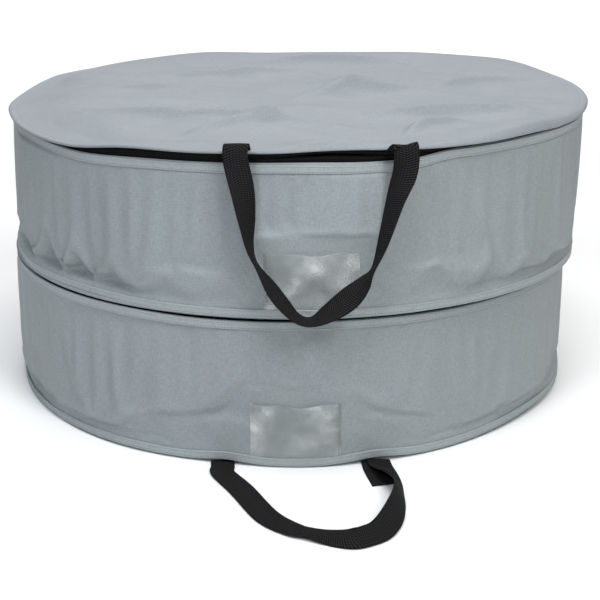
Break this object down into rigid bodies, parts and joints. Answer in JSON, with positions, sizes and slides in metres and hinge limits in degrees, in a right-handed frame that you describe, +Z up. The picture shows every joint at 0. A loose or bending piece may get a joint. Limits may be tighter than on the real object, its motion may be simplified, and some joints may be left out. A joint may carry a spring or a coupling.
{
  "type": "wheel cover set",
  "caption": "Two round zipped fabric wheel bags stacked one on the other, each with a hinged zip lid, webbing carry straps and a clear label pocket.",
  "frame": {"origin": "centre of the lower bag's base, on the surface it rests on", "axes": "+Z up along the bags' common axis; -Y to the front, where the straps and label pockets are; +X to the right seen from the front"},
  "size_m": [0.692, 0.8688, 0.3538],
  "materials": {
    "lid_cloth": "matte",
    "wall_cloth": "matte",
    "base_cloth": "matte",
    "binding_tape": "matte",
    "zip_tape": "matte",
    "zip_coil": "matte",
    "zip_metal": "matte",
    "webbing": "matte",
    "clear_film": "gloss"
  },
  "bodies": {
    "lower_bag": {"lower_base_panel": "base_cloth", "lower_side_wall": "wall_cloth", "lower_base_binding": "binding_tape", "lower_rim_binding": "binding_tape", "lower_wall_seam_tape": "binding_tape", "lower_wall_zip_tape": "zip_tape", "lower_wall_zip_coil": "zip_coil", "lower_zip_stops": "zip_metal", "lower_lid_rear_panel": "lid_cloth", "lower_lid_rear_binding": "binding_tape", "lower_label_pocket": "clear_film", "lower_bottom_strap_ends": "webbing"},
    "lower_lid": {"lower_lid_flap": "lid_cloth", "lower_lid_binding": "binding_tape", "lower_lid_zip_tape": "zip_tape", "lower_lid_zip_coil": "zip_coil", "lower_top_strap_ends": "webbing"},
    "lower_top_strap": {"lower_top_strap": "webbing"},
    "lower_bottom_strap": {"lower_bottom_strap": "webbing"},
    "lower_zip_slider": {"lower_zip_slider": "zip_metal"},
    "lower_zip_pull": {"lower_zip_pull": "zip_metal"},
    "upper_bag": {"upper_base_panel": "base_cloth", "upper_side_wall": "wall_cloth", "upper_base_binding": "binding_tape", "upper_rim_binding": "binding_tape", "upper_wall_seam_tape": "binding_tape", "upper_wall_zip_tape": "zip_tape", "upper_wall_zip_coil": "zip_coil", "upper_zip_stops": "zip_metal", "upper_lid_rear_panel": "lid_cloth", "upper_lid_rear_binding": "binding_tape", "upper_label_pocket": "clear_film", "upper_bottom_strap_ends": "webbing"},
    "upper_lid": {"upper_lid_flap": "lid_cloth", "upper_lid_binding": "binding_tape", "upper_lid_zip_tape": "zip_tape", "upper_lid_zip_coil": "zip_coil", "upper_top_strap_ends": "webbing"},
    "upper_top_strap": {"upper_top_strap": "webbing"},
    "upper_bottom_strap": {"upper_bottom_strap": "webbing"},
    "upper_zip_slider": {"upper_zip_slider": "zip_metal"},
    "upper_zip_pull": {"upper_zip_pull": "zip_metal"}
  },
  "joints": [
    {"name": "upper_bag_lift", "type": "slide", "parent": "lower_bag", "child": "upper_bag", "axis": [0, 0, 1], "range_m": [0, 1.2]},
    {"name": "lower_lid_hinge", "type": "hinge", "parent": "lower_bag", "child": "lower_lid", "pos_m": [0, 0.19202, 0.166], "axis": [-1, 0, 0], "range_deg": [0, 95]},
    {"name": "lower_zip_travel", "type": "hinge", "parent": "lower_bag", "child": "lower_zip_slider", "pos_m": [0, 0, 0.1586], "axis": [0, 0, -1], "range_deg": [0, 239]},
    {"name": "lower_pull_swing", "type": "hinge", "parent": "lower_zip_slider", "child": "lower_zip_pull", "pos_m": [0.29836, 0.1688, 0.1586], "axis": [0.4924, -0.8704, 0], "range_deg": [0, 100]},
    {"name": "upper_lid_hinge", "type": "hinge", "parent": "upper_bag", "child": "upper_lid", "pos_m": [0, 0.19202, 0.3375], "axis": [-1, 0, 0], "range_deg": [0, 165]},
    {"name": "upper_zip_travel", "type": "hinge", "parent": "upper_bag", "child": "upper_zip_slider", "pos_m": [0, 0, 0.3301], "axis": [0, 0, -1], "range_deg": [0, 239]},
    {"name": "upper_pull_swing", "type": "hinge", "parent": "upper_zip_slider", "child": "upper_zip_pull", "pos_m": [0.29836, 0.1688, 0.3301], "axis": [0.4924, -0.8704, 0], "range_deg": [0, 100]},
    {"name": "upper_top_strap_swing", "type": "hinge", "parent": "upper_lid", "child": "upper_top_strap", "pos_m": [0.021, -0.341, 0.3495], "axis": [-1, 0, 0], "range_deg": [0, 240]},
    {"name": "upper_bottom_strap_swing", "type": "hinge", "parent": "upper_bag", "child": "upper_bottom_strap", "pos_m": [0.021, -0.335, 0.17035], "axis": [-1, 0, 0], "range_deg": [0, 91]},
    {"name": "lower_top_strap_swing", "type": "hinge", "parent": "lower_lid", "child": "lower_top_strap", "pos_m": [0.003, -0.335, 0.16715], "axis": [1, 0, 0], "range_deg": [0, 104]},
    {"name": "lower_bottom_strap_swing", "type": "hinge", "parent": "lower_bag", "child": "lower_bottom_strap", "pos_m": [0.003, -0.343, 0.002], "axis": [-1, 0, 0], "range_deg": [0, 75]}
  ],
  "couplings": [
    {"joint": "lower_lid_hinge", "follows": "upper_bag_lift", "rad_per_m": 1.3},
    {"joint": "lower_top_strap_swing", "follows": "upper_bag_lift", "rad_per_m": 1.5},
    {"joint": "upper_bottom_strap_swing", "follows": "upper_bag_lift", "rad_per_m": 1.309}
  ]
}
